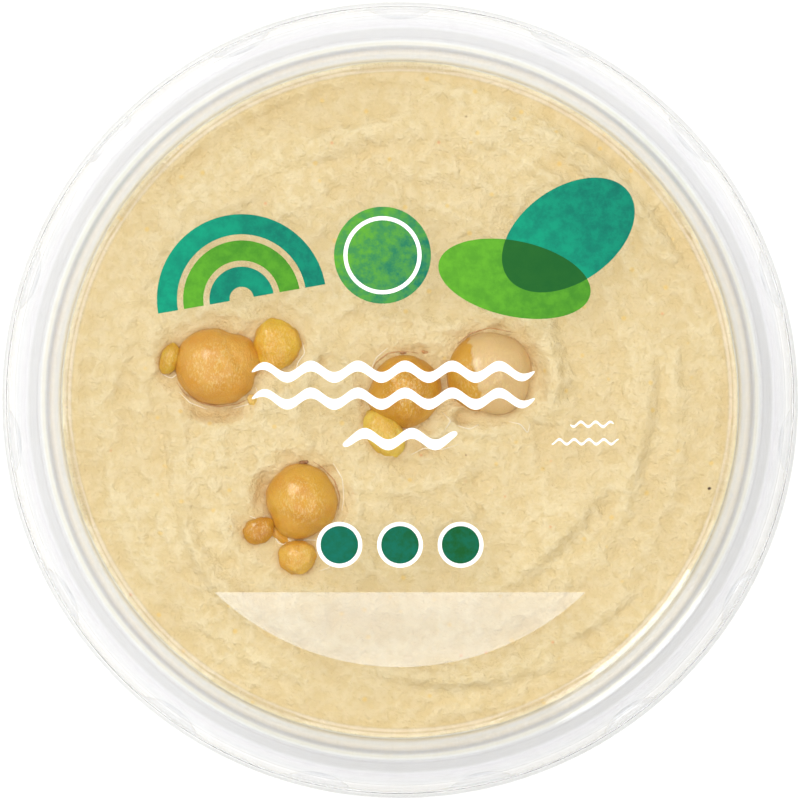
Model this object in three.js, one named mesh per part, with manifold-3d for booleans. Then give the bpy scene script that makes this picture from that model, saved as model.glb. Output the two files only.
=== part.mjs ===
// A round clear tub of hummus, shut with a clear lid. Whole and split chickpeas lie pressed into the dip.
// Millimetres, +Z up. The origin is the centre of the foot, on the surface that the tub stands on.
import * as THREE from "three";
import { mergeVertices } from "three/addons/utils/BufferGeometryUtils.js";
import Module from "manifold-3d";

const wasm = await Module();
wasm.setup();

// Driving dimensions
const LID_RADIUS = 59;
const TOTAL_HEIGHT = 39;
const LID_WALL = 0.9;
const TUB_WALL = 0.8;
const CLEARANCE = 0.3; // between lid and tub, food and tub, and between pieces of food
const AROUND = 56; // facets round the tub and the lid

const SKIRT_BOTTOM = 32.2;
const RIM_ROUND = { width: 4.4, height: 3.2 }; // a quarter ellipse from the rim's crest down to the skirt
const PANEL_TOP = 33.5; // the flat middle of the lid, sunk below its rim
const PANEL_RADIUS = 48.95;
const BORDER_RADIUS = 50.2; // a low slope round the panel, up to the foot of the recess wall
const BORDER_HEIGHT = 0.5;

const FOOT_INNER = 42.2;
const FOOT_OUTER = 44.6;
const FOOT_HEIGHT = 0.8; // the base is lifted this far inside the foot ring
const FOOT_ROUND = 0.9;
const FLOOR_TOP = FOOT_HEIGHT + TUB_WALL;
const FLOOR_RADIUS = 44.3; // flat floor inside the tub
const WALL_FOOT = { r: 45.3, z: 2.6 };
const LIP_BOTTOM = 35.2;

const LEVEL = 28.2; // general level of the hummus
const HUMMUS_RINGS = 24;
const SWELL = { height: 0.3, lengthX: 30, lengthY: 37 };
const SWIRL = { height: 0.2, pitch: 5.7, wobble: 0.9 };
// The hollow round a chickpea: its depth as a share of the half width, its reach, and the raised lip outside it.
const HOLLOW = { depth: 0.12, reach: 1.6, lip: 0.45, lipAt: 2.8, lipWidth: 1.1 };
const CALM_FROM = 47; // the relief fades out between this radius and the tub's wall

const LUGS = 15; // snap lugs inside the lid's skirt
const LUG_HALF_ANGLE = 5.2;
const LUG_TIP_RADIUS = 56.5;
const LUG_BOTTOM = 33.5;
const LUG_HEIGHT = 1.2;

const PADS = 7; // flat pads on the slope round the panel, where a stacked tub stands
const PAD_HALF_ANGLE = 9.2;
const PAD_TIP_RADIUS = 49.15;
const PAD_HEIGHT = 0.55;
const SINK = 0.15; // how far lugs and pads reach into the lid that carries them

const rad = THREE.MathUtils.degToRad;
const { abs, sin, cos, exp, hypot, atan2, PI } = Math;

// Profiles are lists of [radius, height], walked from the axis outwards along the upper or inner face.
// This one is a quarter ellipse that falls outwards from its top.
function quarter(r, z, { width, height }, steps) {
  return Array.from({ length: steps + 1 }, (_, i) => {
    const a = rad(90 * (1 - i / steps));
    return [r + width * cos(a), z + height * sin(a)];
  });
}

// The profile moved sideways by a distance, to the side that lies below it.
function offset(path, distance) {
  const side = (a, b) => {
    const length = hypot(b[0] - a[0], b[1] - a[1]);
    return [(b[1] - a[1]) / length, -(b[0] - a[0]) / length];
  };
  return path.map((p, i) => {
    const before = i > 0 ? side(path[i - 1], p) : side(p, path[1]);
    const after = i < path.length - 1 ? side(p, path[i + 1]) : before;
    const sum = [before[0] + after[0], before[1] + after[1]];
    const reach = (2 * distance) / (sum[0] ** 2 + sum[1] ** 2);
    return [Math.max(0, p[0] + sum[0] * reach), p[1] + sum[1] * reach];
  });
}

// A closed section turned about the Z axis. It is walked over the upper side first and back along the lower one.
function turned(section, around) {
  const points = section.map(([r, z]) => new THREE.Vector2(r, z)).reverse();
  return new THREE.LatheGeometry(points, around).rotateX(PI / 2);
}

function solidOf(geometry) {
  const bare = geometry.index ? geometry.toNonIndexed() : geometry.clone();
  bare.deleteAttribute("normal");
  bare.deleteAttribute("uv");
  const merged = mergeVertices(bare, 1e-4);
  return new wasm.Manifold(
    new wasm.Mesh({
      numProp: 3,
      vertProperties: merged.attributes.position.array,
      triVerts: new Uint32Array(merged.index.array),
    }),
  );
}

function geometryOf(solid) {
  const mesh = solid.getMesh();
  const geometry = new THREE.BufferGeometry();
  geometry.setAttribute("position", new THREE.BufferAttribute(mesh.vertProperties, 3));
  geometry.setIndex(new THREE.BufferAttribute(mesh.triVerts, 1));
  geometry.computeVertexNormals();
  return geometry;
}

// The lid's upper face: sunk panel, low slope, recess wall, rim and skirt.
const rim = [
  [50.5, PANEL_TOP + 0.9],
  [51.6, 37.5],
  [52.4, 38.6],
  [53.3, TOTAL_HEIGHT],
  ...quarter(LID_RADIUS - RIM_ROUND.width, TOTAL_HEIGHT - RIM_ROUND.height, RIM_ROUND, 4),
];
const lidFace = [
  [0, PANEL_TOP],
  [PANEL_RADIUS, PANEL_TOP],
  [BORDER_RADIUS, PANEL_TOP + BORDER_HEIGHT],
  ...rim,
  [LID_RADIUS, SKIRT_BOTTOM],
];
// The tub's rim fits under the lid's rim. Its first point ends the straight wall.
const tubRim = offset(rim, LID_WALL + CLEARANCE);

// A flat lens across the +X axis: it bulges from radius `base` to `tip` and ends inside the lid at `anchor`.
function lens(base, tip, anchor, halfAngle, height, blunt) {
  const steps = 6;
  const outline = [];
  for (let i = 0; i <= steps; i++) {
    const t = (2 * i) / steps - 1;
    const r = base + (tip - base) * (1 - abs(t) ** blunt);
    outline.push(new THREE.Vector2(r * cos(rad(halfAngle) * t), r * sin(rad(halfAngle) * t)));
  }
  for (const t of [1, 0, -1]) {
    outline.push(new THREE.Vector2(anchor * cos(rad(halfAngle) * t), anchor * sin(rad(halfAngle) * t)));
  }
  const shape = new THREE.Shape(outline);
  return new THREE.ExtrudeGeometry(shape, { depth: height, bevelEnabled: false });
}

// Copies of a solid spaced evenly round the Z axis, the first one at +Y.
function ringOf(geometry, count, z) {
  return Array.from({ length: count }, (_, i) =>
    solidOf(geometry.clone().translate(0, 0, z).rotateZ(PI / 2 + (2 * PI * i) / count)),
  );
}

function makeLid() {
  const section = [...lidFace, ...offset(lidFace, LID_WALL).reverse()];
  let lid = solidOf(turned(section, AROUND));
  const skirtInside = LID_RADIUS - LID_WALL - SINK;
  const lug = lens(skirtInside, LUG_TIP_RADIUS, LID_RADIUS - LID_WALL / 2, LUG_HALF_ANGLE, LUG_HEIGHT, 2);
  for (const solid of ringOf(lug, LUGS, LUG_BOTTOM)) lid = lid.add(solid);
  const padEnd = BORDER_RADIUS + SINK;
  const pad = lens(BORDER_RADIUS, PAD_TIP_RADIUS, padEnd, PAD_HALF_ANGLE, PAD_HEIGHT + SINK, 5);
  for (const solid of ringOf(pad, PADS, PANEL_TOP - SINK)) lid = lid.add(solid);
  return geometryOf(lid);
}

function makeTub() {
  const face = [
    [0, FLOOR_TOP],
    [FLOOR_RADIUS, FLOOR_TOP],
    [WALL_FOOT.r, WALL_FOOT.z],
    ...tubRim,
    [tubRim[tubRim.length - 1][0], LIP_BOTTOM],
  ];
  const outside = offset(face, TUB_WALL).slice(2).reverse();
  const foot = [
    [FOOT_OUTER + FOOT_ROUND, FOOT_ROUND],
    [FOOT_OUTER, 0],
    [FOOT_INNER, 0],
    [FOOT_INNER - FOOT_HEIGHT, FOOT_HEIGHT],
    [0, FOOT_HEIGHT],
  ];
  return turned([...face, ...outside, ...foot], AROUND);
}

// Whole chickpeas: place and half sizes, the turn about Z, and the direction of the beak in degrees from +X.
const CHICKPEAS = {
  chickpea_left: { at: [-27.4, 5.0, 26.9], half: [6.5, 5.8, 5.1], turn: -8, beak: 28 },
  chickpea_middle: { at: [0.8, 1.4, 26.9], half: [5.45, 5.5, 5.2], turn: 0, beak: 205 },
  chickpea_right: { at: [13.3, 3.9, 26.9], half: [6.65, 6.2, 5.2], turn: 12, beak: -52 },
  chickpea_lower: { at: [-14.7, -15.1, 26.9], half: [5.45, 5.55, 5.2], turn: 20, beak: 250 },
};

// Split halves and broken pieces, with a low underside. `beside` names the chickpea that each one is pressed against.
const PIECES = {
  chickpea_left_half: { at: [-18.4, 8.1, 27.6], half: [3.6, 4.0, 2.5], turn: -12, beside: ["chickpea_left"] },
  chickpea_left_chip: { at: [-34.4, 6.1, 27.8], half: [1.5, 2.4, 1.6], turn: -22, beside: ["chickpea_left"] },
  chickpea_middle_half: { at: [-2.4, -5.0, 27.5], half: [4.1, 2.8, 2.3], turn: -57, beside: ["chickpea_middle"] },
  chickpea_lower_half: { at: [-15.2, -23.5, 27.8], half: [3.0, 2.5, 2.0], turn: 10, beside: ["chickpea_lower"] },
  chickpea_lower_chip: { at: [-21.0, -19.5, 27.9], half: [2.5, 1.95, 1.7], turn: 25, beside: ["chickpea_lower"] },
};

// The beak and the groove round it, as shares of the radius, and how far each is spread over the ball.
const BEAK = { bulge: 0.07, spread: 0.1, groove: 0.05, grooveAt: 0.72, grooveWidth: 0.14, rise: 0.25 };

// One chickpea: a ball with a beak over a shallow groove. `grow` adds to every half size.
function chickpea({ at, half, turn, beak }, grow = 0) {
  const geometry = new THREE.SphereGeometry(1, 16, 10).rotateX(PI / 2);
  const tip = new THREE.Vector3(cos(rad(beak - turn)), sin(rad(beak - turn)), BEAK.rise).normalize();
  const position = geometry.attributes.position;
  const p = new THREE.Vector3();
  for (let i = 0; i < position.count; i++) {
    p.fromBufferAttribute(position, i);
    const near = p.dot(tip);
    const groove = BEAK.groove * exp(-(((near - BEAK.grooveAt) / BEAK.grooveWidth) ** 2));
    const bulge = BEAK.bulge * exp(-(((1 - near) / BEAK.spread) ** 2));
    p.multiplyScalar(1 + bulge - groove);
    position.setXYZ(i, p.x, p.y, p.z);
  }
  geometry.scale(half[0] + grow, half[1] + grow, half[2] + grow);
  return geometry.rotateZ(rad(turn)).translate(...at);
}

// One broken piece: an uneven dome on a flatter underside.
function piece({ at, half, turn }, grow = 0) {
  const geometry = new THREE.SphereGeometry(1, 12, 8).rotateX(PI / 2);
  const position = geometry.attributes.position;
  for (let i = 0; i < position.count; i++) {
    const [x, y, z] = [position.getX(i), position.getY(i), position.getZ(i)];
    position.setXYZ(i, x * (1 + 0.1 * y), y * (1 - 0.08 * x), z < 0 ? 0.6 * z : z);
  }
  geometry.scale(half[0] + grow, half[1] + grow, half[2] + grow);
  return geometry.rotateZ(rad(turn)).translate(...at);
}

// Strokes left by the filling spoon: [start angle, end angle, start radius, end radius, width, height].
const STROKES = [
  [80, 48, 43.8, 46.2, 1.6, 0.9],
  [56, 26, 46.0, 45.6, 1.4, 0.8],
  [66, 34, 39.5, 41.0, 2.0, 0.8],
  [118, 84, 40.0, 41.5, 1.9, 0.6],
  [140, 84, 47.0, 46.8, 1.6, -0.6],
  [32, -10, 24.8, 22.8, 1.9, 0.9],
  [182, 238, 33.4, 40.4, 1.8, 0.9],
  [186, 226, 29.5, 33.0, 1.6, 0.5],
  [224, 262, 37.6, 38.2, 1.7, 0.7],
  [260, 306, 39.8, 46.0, 1.6, 0.9],
  [302, 322, 43.4, 45.2, 1.4, 0.6],
  [170, 128, 41.0, 43.0, 1.9, 0.5],
  [340, 300, 33.0, 31.0, 2.0, 0.6],
  [20, -28, 38.0, 36.0, 1.9, 0.6],
];

// How far a stroke lifts the surface: a ridge with a gentle inner side and a steep outer side.
function strokeHeight(r, angle, [from, to, start, end, width, height]) {
  const span = to - from;
  const turnTo = ((((angle - (from + to) / 2 + 180) % 360) + 360) % 360) - 180;
  const t = 0.5 + turnTo / span;
  if (t < 0 || t > 1) return 0;
  const across = (r - (start + (end - start) * t)) / width;
  const ridge = exp(-((across < 0 ? across * 0.6 : across * 1.5) ** 2));
  return height * ridge * sin(PI * t) ** 0.6;
}

// Distance from a piece's outline, seen from above: negative inside it.
function outside(x, y, { at, half, turn }) {
  const [dx, dy] = [x - at[0], y - at[1]];
  const [u, v] = [dx * cos(rad(turn)) + dy * sin(rad(turn)), dy * cos(rad(turn)) - dx * sin(rad(turn))];
  const reach = hypot(u / half[0], v / half[1]);
  return (reach - 1) * Math.min(half[0], half[1]);
}

// The height of the hummus at a point: its level, slow swells, a swirl, spoon strokes, and a hollow round each chickpea.
function hummusHeight(x, y) {
  const r = hypot(x, y);
  const angle = (atan2(y, x) * 180) / PI;
  const wobble = SWIRL.wobble * sin(rad(3 * angle));
  let z = SWELL.height * sin((2 * PI * x) / SWELL.lengthX) * cos((2 * PI * y) / SWELL.lengthY);
  z += SWIRL.height * sin((2 * PI * r) / SWIRL.pitch + rad(angle) + wobble);
  for (const stroke of STROKES) z += strokeHeight(r, angle, stroke);
  for (const spec of [...Object.values(CHICKPEAS), ...Object.values(PIECES)]) {
    const d = Math.max(0, outside(x, y, spec));
    const depth = HOLLOW.depth * Math.min(spec.half[0], spec.half[1]);
    const lip = HOLLOW.lip * exp(-(((d - HOLLOW.lipAt) / HOLLOW.lipWidth) ** 2));
    z += depth * (lip - exp(-((d / HOLLOW.reach) ** 2)));
  }
  return LEVEL + z * (1 - THREE.MathUtils.smoothstep(r, CALM_FROM, BORDER_RADIUS));
}

function makeHummus(food) {
  const slope = (tubRim[0][0] - WALL_FOOT.r) / (tubRim[0][1] - WALL_FOOT.z);
  const wallAt = (z) => WALL_FOOT.r + slope * (z - WALL_FOOT.z) - CLEARANCE;
  const rings = Array.from({ length: HUMMUS_RINGS + 1 }, (_, i) => [(wallAt(LEVEL) * i) / HUMMUS_RINGS, LEVEL]);
  const bottom = FLOOR_TOP + CLEARANCE;
  const side = [
    [wallAt(WALL_FOOT.z), WALL_FOOT.z + CLEARANCE],
    [FLOOR_RADIUS - CLEARANCE, bottom],
    [0, bottom],
  ];
  const geometry = turned([...rings, ...side], AROUND);
  const position = geometry.attributes.position;
  for (let i = 0; i < position.count; i++) {
    if (position.getZ(i) > WALL_FOOT.z + CLEARANCE + 1) {
      position.setZ(i, hummusHeight(position.getX(i), position.getY(i)));
    }
  }
  let hummus = solidOf(geometry);
  for (const solid of food) hummus = hummus.subtract(solid);
  return geometryOf(hummus);
}

const clear = { roughness: 0.08, metalness: 0, transparent: true, opacity: 0.3 };
const MATERIALS = {
  tub: new THREE.MeshStandardMaterial({ color: 0xf2f4f3, ...clear }),
  lid: new THREE.MeshStandardMaterial({ color: 0xf6f8f8, ...clear }),
  hummus: new THREE.MeshStandardMaterial({ color: 0xe6d19e, roughness: 0.55, metalness: 0 }),
  chickpea: new THREE.MeshStandardMaterial({ color: 0xe0aa57, roughness: 0.35, metalness: 0 }),
  half: new THREE.MeshStandardMaterial({ color: 0xe3b551, roughness: 0.4, metalness: 0 }),
};

const group = new THREE.Group();
group.name = "hummus_tub";

function put(name, geometry, material) {
  const mesh = new THREE.Mesh(geometry, material);
  mesh.name = name;
  group.add(mesh);
}

put("tub", makeTub(), MATERIALS.tub);
put("lid", makeLid(), MATERIALS.lid);

const hollows = [];
for (const [name, spec] of Object.entries(CHICKPEAS)) {
  put(name, chickpea(spec), MATERIALS.chickpea);
  hollows.push(solidOf(chickpea(spec, CLEARANCE)));
}
for (const [name, spec] of Object.entries(PIECES)) {
  let solid = solidOf(piece(spec));
  for (const other of spec.beside) solid = solid.subtract(solidOf(chickpea(CHICKPEAS[other], CLEARANCE)));
  put(name, geometryOf(solid), MATERIALS.half);
  hollows.push(solidOf(piece(spec, CLEARANCE)));
}
put("hummus", makeHummus(hollows), MATERIALS.hummus);

export default group;
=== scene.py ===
from math import atan2, cos, degrees, exp, hypot, pi, radians, sin

import bmesh
import bpy
from mathutils import Matrix, Vector, noise


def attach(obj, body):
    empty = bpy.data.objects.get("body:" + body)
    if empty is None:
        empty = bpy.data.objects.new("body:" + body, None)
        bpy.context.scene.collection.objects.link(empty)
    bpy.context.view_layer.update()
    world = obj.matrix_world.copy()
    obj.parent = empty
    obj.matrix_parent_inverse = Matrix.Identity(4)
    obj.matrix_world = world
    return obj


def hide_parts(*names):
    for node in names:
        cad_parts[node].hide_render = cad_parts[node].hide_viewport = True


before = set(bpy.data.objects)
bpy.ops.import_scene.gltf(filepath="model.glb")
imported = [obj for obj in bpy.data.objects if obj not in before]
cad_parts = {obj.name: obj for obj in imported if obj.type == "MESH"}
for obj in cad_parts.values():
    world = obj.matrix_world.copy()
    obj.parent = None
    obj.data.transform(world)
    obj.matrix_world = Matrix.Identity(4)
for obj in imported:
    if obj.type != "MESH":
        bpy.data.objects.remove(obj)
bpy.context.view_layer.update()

mm = 0.001
weld = 0.0005 * mm  # points that lie closer than this are merged
flat = 1e6  # a stretch along Z so long that a pattern no longer changes with height
scene = bpy.context.scene
noise.seed_set(5)  # noise_vector starts from a random place without it
print("frame loaded:", len(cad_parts), "nodes")


# Shader maths: a Link is a node's output, and sums on it add Math nodes.
class Link:
    def __init__(self, paint, socket):
        self.paint = paint
        self.socket = socket

    def math(self, operation, first, second):
        return self.paint.node("ShaderNodeMath", {"operation": operation}, {0: first, 1: second})

    def __add__(self, other):
        return self.math("ADD", self, other)

    def __sub__(self, other):
        return self.math("SUBTRACT", self, other)

    def __mul__(self, other):
        return self.math("MULTIPLY", self, other)

    def __rsub__(self, other):
        return self.math("SUBTRACT", other, self)

    __radd__ = __add__
    __rmul__ = __mul__


# The nodes of one material, or of the world.
class Paint:
    def __init__(self, owner):
        self.material = bpy.data.materials.new(owner) if isinstance(owner, str) else owner
        self.material.use_nodes = True
        self.nodes = self.material.node_tree.nodes
        self.links = self.material.node_tree.links
        self.nodes.clear()

    def find(self, sockets, key):
        if isinstance(key, int):
            return sockets[key]
        return next(socket for socket in sockets if key in (socket.identifier, socket.name))

    def node(self, kind, settings=None, sockets=None, output=0):
        made = self.nodes.new(kind)
        for key, value in (settings or {}).items():
            if key == "stops":
                self.setStops(made.color_ramp, value)
            else:
                setattr(made, key, value)
        for key, value in (sockets or {}).items():
            target = self.find(made.inputs, key)
            if isinstance(value, Link):
                self.links.new(value.socket, target)
            else:
                target.default_value = value
        return Link(self, self.find(made.outputs, output)) if made.outputs else None

    def setStops(self, ramp, stops):
        while len(ramp.elements) < len(stops):
            ramp.elements.new(1)
        for element, (position, colour) in zip(ramp.elements, stops):
            element.position = position
            element.color = colour

    # Object coordinates as seen from a spot in mm, turned, and divided by a size in mm.
    def place(self, size=1.0, at=(0, 0, 0), turn=0, stretch=(1, 1, 1)):
        sockets = {
            "Vector": self.node("ShaderNodeTexCoord", output="Object"),
            "Location": Vector(at) * mm,
            "Rotation": (0, 0, radians(turn)),
            "Scale": Vector(stretch) * size * mm,
        }
        return self.node("ShaderNodeMapping", {"vector_type": "TEXTURE"}, sockets)

    def noise(self, size, detail=2, roughness=0.5, distortion=0.0, **placing):
        sockets = {
            "Vector": self.place(size, **placing),
            "Scale": 1,
            "Detail": detail,
            "Roughness": roughness,
            "Distortion": distortion,
        }
        return self.node("ShaderNodeTexNoise", sockets=sockets)

    def cells(self, size, output="Distance"):
        sockets = {"Vector": self.place(size), "Scale": 1}
        return self.node("ShaderNodeTexVoronoi", sockets=sockets, output=output)

    # 1 inside an upright elliptic column and 0 outside it, with a soft edge.
    def ellipse(self, at, turn, half, soft=0.005):
        spot = self.place(1, (*at, 0), turn, (*half, flat))
        reach = self.node("ShaderNodeVectorMath", {"operation": "LENGTH"}, {0: spot}, "Value")
        return self.between(reach, 1 + soft, 1 - soft)

    def between(self, value, low, high, start=0.0, end=1.0):
        sockets = {"Value": value, "From Min": low, "From Max": high, "To Min": start, "To Max": end}
        return self.node("ShaderNodeMapRange", {"interpolation_type": "SMOOTHSTEP"}, sockets)

    def mix(self, factor, first, second):
        sockets = {"Factor_Float": factor, "A_Color": first, "B_Color": second}
        return self.node("ShaderNodeMix", {"data_type": "RGBA"}, sockets, "Result_Color")

    # Colours by distance from the Z axis: a list of (radius in mm, colour), the radii rising. The lid's
    # painted shade and light in rings is made with it.
    def ringShadeTone(self, rings):
        inner, outer = rings[0][0], rings[-1][0]
        spot = self.place(1, stretch=(1, 1, flat))
        reach = self.node("ShaderNodeVectorMath", {"operation": "LENGTH"}, {0: spot}, "Value")
        stops = [((radius - inner) / (outer - inner), (*colour, 1)) for radius, colour in rings]
        share = (reach - inner) * (1 / (outer - inner))
        return self.node("ShaderNodeValToRGB", {"stops": stops}, {"Fac": share}, "Color")

    def attribute(self, name):
        return self.node("ShaderNodeAttribute", {"attribute_name": name}, output="Fac")

    def bump(self, height, depth, strength=1.0):
        sockets = {"Height": height, "Distance": depth * mm, "Strength": strength}
        return self.node("ShaderNodeBump", sockets=sockets)

    def principled(self, sockets):
        return self.node("ShaderNodeBsdfPrincipled", sockets=sockets)

    # Light on its way to the food passes straight through a shader.
    def letLightPass(self, shader, shade):
        straight = self.node("ShaderNodeBsdfTransparent", sockets={"Color": shade})
        shadowRay = self.node("ShaderNodeLightPath", output="Is Shadow Ray")
        diffuseRay = self.node("ShaderNodeLightPath", output="Is Diffuse Ray")
        passes = shadowRay.math("MAXIMUM", shadowRay, diffuseRay)
        return self.node("ShaderNodeMixShader", sockets={0: passes, 1: shader, 2: straight})

    def finish(self, shader):
        self.node("ShaderNodeOutputMaterial", sockets={"Surface": shader})
        return self.material


# A colour as it is read off a screen, 0 to 255, for a shader.
def screen(red, green, blue):
    def linear(level):
        share = level / 255
        return share / 12.92 if share <= 0.04045 else ((share + 0.055) / 1.055) ** 2.4

    return (linear(red), linear(green), linear(blue), 1)


def addPiece(name, bm, material, nodes=()):
    mesh = bpy.data.meshes.new(name)
    bm.to_mesh(mesh)
    bm.free()
    mesh.materials.append(material)
    mesh.shade_smooth()
    piece = bpy.data.objects.new(name, mesh)
    scene.collection.objects.link(piece)
    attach(piece, "root")
    if nodes:
        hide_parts(*nodes)
    print("made", name, len(mesh.polygons), "faces")
    return piece


def ease(value, low, high):
    share = min(1, max(0, (value - low) / (high - low)))
    return share * share * (3 - 2 * share)


# How far an angle lies from the nearest of evenly spaced places, the first one at +Y, in degrees.
def fromNearest(angle, count):
    pitch = 360 / count
    return abs((angle - 90 + pitch / 2) % pitch - pitch / 2)


# Camera, floor and light
studio = {
    "lens": 250,  # mm, a long lens from far above
    "sensor": 36,
    "frameWidth": 118.4,  # mm across the picture, at the height of the lid's rim
    "rimHeight": 36.2,
    "side": {"size": 500, "place": (-650, 700, 1000), "watts": 4.0},
    "walls": 0.55,  # brightness of the room
    "softbox": 2.4,  # of the wide soft box overhead
    "hole": 0.1,  # and of the dark hole in it for the camera, which the lid mirrors
    "boxEdge": (0.64, 0.79),  # where the soft box fades in: 0 is level, 1 is straight up
    "holeEdge": (0.955, 0.9925),  # where it fades into the hole
    "floorSize": 3000,
    "floorColours": [(0.97, 0.98, 1.0, 1), (0.98, 0.99, 1.0, 1)],
    "floorMottle": 200,  # mm, the slow change from one to the other
}


def addLight(name, size, place, watts):
    light = bpy.data.lights.new(name, "AREA")
    light.size = size * mm
    light.energy = watts
    holder = bpy.data.objects.new(name, light)
    holder.location = Vector(place) * mm
    holder.rotation_euler = (-holder.location).to_track_quat("-Z", "Y").to_euler()
    scene.collection.objects.link(holder)


def buildStudio():
    camera = bpy.data.cameras.new("camera")
    camera.lens = studio["lens"]
    camera.sensor_width = studio["sensor"]
    camera.clip_end = 10  # metres
    holder = bpy.data.objects.new("camera", camera)
    distance = studio["frameWidth"] * studio["lens"] / studio["sensor"]
    holder.location = (0, 0, (studio["rimHeight"] + distance) * mm)
    scene.collection.objects.link(holder)
    scene.camera = holder

    side = studio["side"]
    addLight("sideLight", side["size"], side["place"], side["watts"])

    scene.world = bpy.data.worlds.new("studio")
    room = Paint(scene.world)
    direction = room.node("ShaderNodeTexCoord", output="Generated")
    upward = room.node("ShaderNodeSeparateXYZ", sockets={0: direction}, output="Z")
    strength = room.between(upward, *studio["boxEdge"], studio["walls"], studio["softbox"])
    drop = studio["softbox"] - studio["hole"]
    strength = strength - room.between(upward, *studio["holeEdge"], 0, drop)
    light = room.node("ShaderNodeBackground", sockets={"Color": (1, 1, 1, 1), "Strength": strength})
    room.node("ShaderNodeOutputWorld", sockets={"Surface": light})
    scene.view_settings.view_transform = "Standard"

    paint = Paint("floorPaper")
    tone = paint.mix(paint.noise(studio["floorMottle"]), *studio["floorColours"])
    paper = paint.principled({"Base Color": tone, "Roughness": 0.9})
    bm = bmesh.new()
    bmesh.ops.create_grid(bm, x_segments=1, y_segments=1, size=studio["floorSize"] * mm / 2)
    mesh = bpy.data.meshes.new("floor")
    bm.to_mesh(mesh)
    bm.free()
    mesh.materials.append(paint.finish(paper))
    floor = bpy.data.objects.new("floor", mesh)
    scene.collection.objects.link(floor)
    print("studio ready")


# Clear plastic of the lid and the tub. Light rays pass it straight, so that the food below is lit.
plastic = {
    "smooth": 0.02,  # roughness, most of it and where it is scuffed
    "scuffed": 0.06,
    "scuffSize": 11,
    "scuffEdge": (0.55, 0.8),
    "rippleSize": 16,
    "rippleDepth": 0.05,
    "ripple": 0.1,
    "coatRoughness": 0.03,
    "shade": (0.97, 0.975, 0.985, 1),  # of the light that passes straight through
}


def clearPlastic(name, bend, tint):
    paint = Paint(name)
    # A list of rings paints shade and light on the plastic by radius; a single colour is a plain tint.
    tint = paint.ringShadeTone(tint) if isinstance(tint, list) else tint
    scuffs = paint.noise(plastic["scuffSize"], detail=1)
    ripple = paint.noise(plastic["rippleSize"], detail=1)
    sockets = {
        "Base Color": tint,
        "Roughness": paint.between(scuffs, *plastic["scuffEdge"], plastic["smooth"], plastic["scuffed"]),
        "Transmission Weight": 1.0,
        "IOR": bend,
        "Coat Weight": 1.0,
        "Coat Roughness": plastic["coatRoughness"],
        "Normal": paint.bump(ripple, plastic["rippleDepth"], plastic["ripple"]),
    }
    return paint.finish(paint.letLightPass(paint.principled(sockets), plastic["shade"]))


# Profiles are lists of (radius, height) in mm, walked outwards along the upper or inner face.
def offsetPath(path, distance):
    def side(start, end):
        along = (Vector(end) - Vector(start)).normalized()
        return Vector((along.y, -along.x))

    moved = []
    for i, here in enumerate(path):
        before = side(path[i - 1], here) if i else side(here, path[1])
        after = side(here, path[i + 1]) if i < len(path) - 1 else before
        both = before + after
        point = Vector(here) + both * (2 * distance / both.length_squared)
        moved.append((max(0, point.x), point.y))
    return moved


def bendPath(start, corner, end, steps):
    start, corner, end = Vector(start), Vector(corner), Vector(end)
    shares = [i / steps for i in range(steps + 1)]
    return [tuple(start.lerp(corner, t).lerp(corner.lerp(end, t), t)) for t in shares]


def quarterPath(r, z, size, steps):
    angles = [pi / 2 * (1 - i / steps) for i in range(steps + 1)]
    return [(r + size[0] * cos(a), z + size[1] * sin(a)) for a in angles]


corners = {
    "straight": 165,  # degrees: a wider corner stays as it is
    "share": 0.4,  # of a side, the most that a curve takes
    "shoulder": 0.2,  # of a curve's reach: one more step beside it keeps the straight flat
    "steps": 4,
}


# Each corner of a path becomes a short curve.
def softPath(path, radius):
    soft = [path[0]]
    for before, here, after in zip(path, path[1:], path[2:]):
        here = Vector(here)
        toBefore, toAfter = Vector(before) - here, Vector(after) - here
        if toBefore.angle(toAfter) > radians(corners["straight"]):
            soft.append(tuple(here))
            continue
        reach = min(radius, corners["share"] * toBefore.length, corners["share"] * toAfter.length)
        start = here + toBefore.normalized() * reach
        end = here + toAfter.normalized() * reach
        soft.append(tuple(start + toBefore.normalized() * reach * corners["shoulder"]))
        soft += bendPath(start, here, end, corners["steps"])
        soft.append(tuple(end + toAfter.normalized() * reach * corners["shoulder"]))
    return soft + [path[-1]]


# Stretches of a path that a test picks are cut into short steps.
def finePath(path, step, picked):
    fine = [path[0]]
    for start, end in zip(path, path[1:]):
        length = (Vector(end) - Vector(start)).length
        middle = Vector(start).lerp(Vector(end), 0.5)
        count = max(1, round(length / step)) if picked(middle.x, middle.y) else 1
        fine += [tuple(Vector(start).lerp(Vector(end), i / count)) for i in range(1, count + 1)]
    return fine


# A path turned about the Z axis: one sector of the turn is spun, then copied round.
def spunShape(path, steps, sectors=12):
    bm = bmesh.new()
    line = [bm.verts.new((r * mm, 0, z * mm)) for r, z in path]
    edges = [bm.edges.new(pair) for pair in zip(line, line[1:])]
    turn = {"cent": (0, 0, 0), "axis": (0, 0, 1)}
    bmesh.ops.spin(bm, geom=line + edges, angle=2 * pi / sectors, steps=steps // sectors, **turn)
    sector = bm.verts[:] + bm.edges[:] + bm.faces[:]
    angle = 2 * pi * (1 - 1 / sectors)
    bmesh.ops.spin(bm, geom=sector, angle=angle, steps=sectors - 1, use_duplicate=True, **turn)
    bmesh.ops.remove_doubles(bm, verts=bm.verts, dist=weld)
    bmesh.ops.recalc_face_normals(bm, faces=bm.faces)
    return bm


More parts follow.
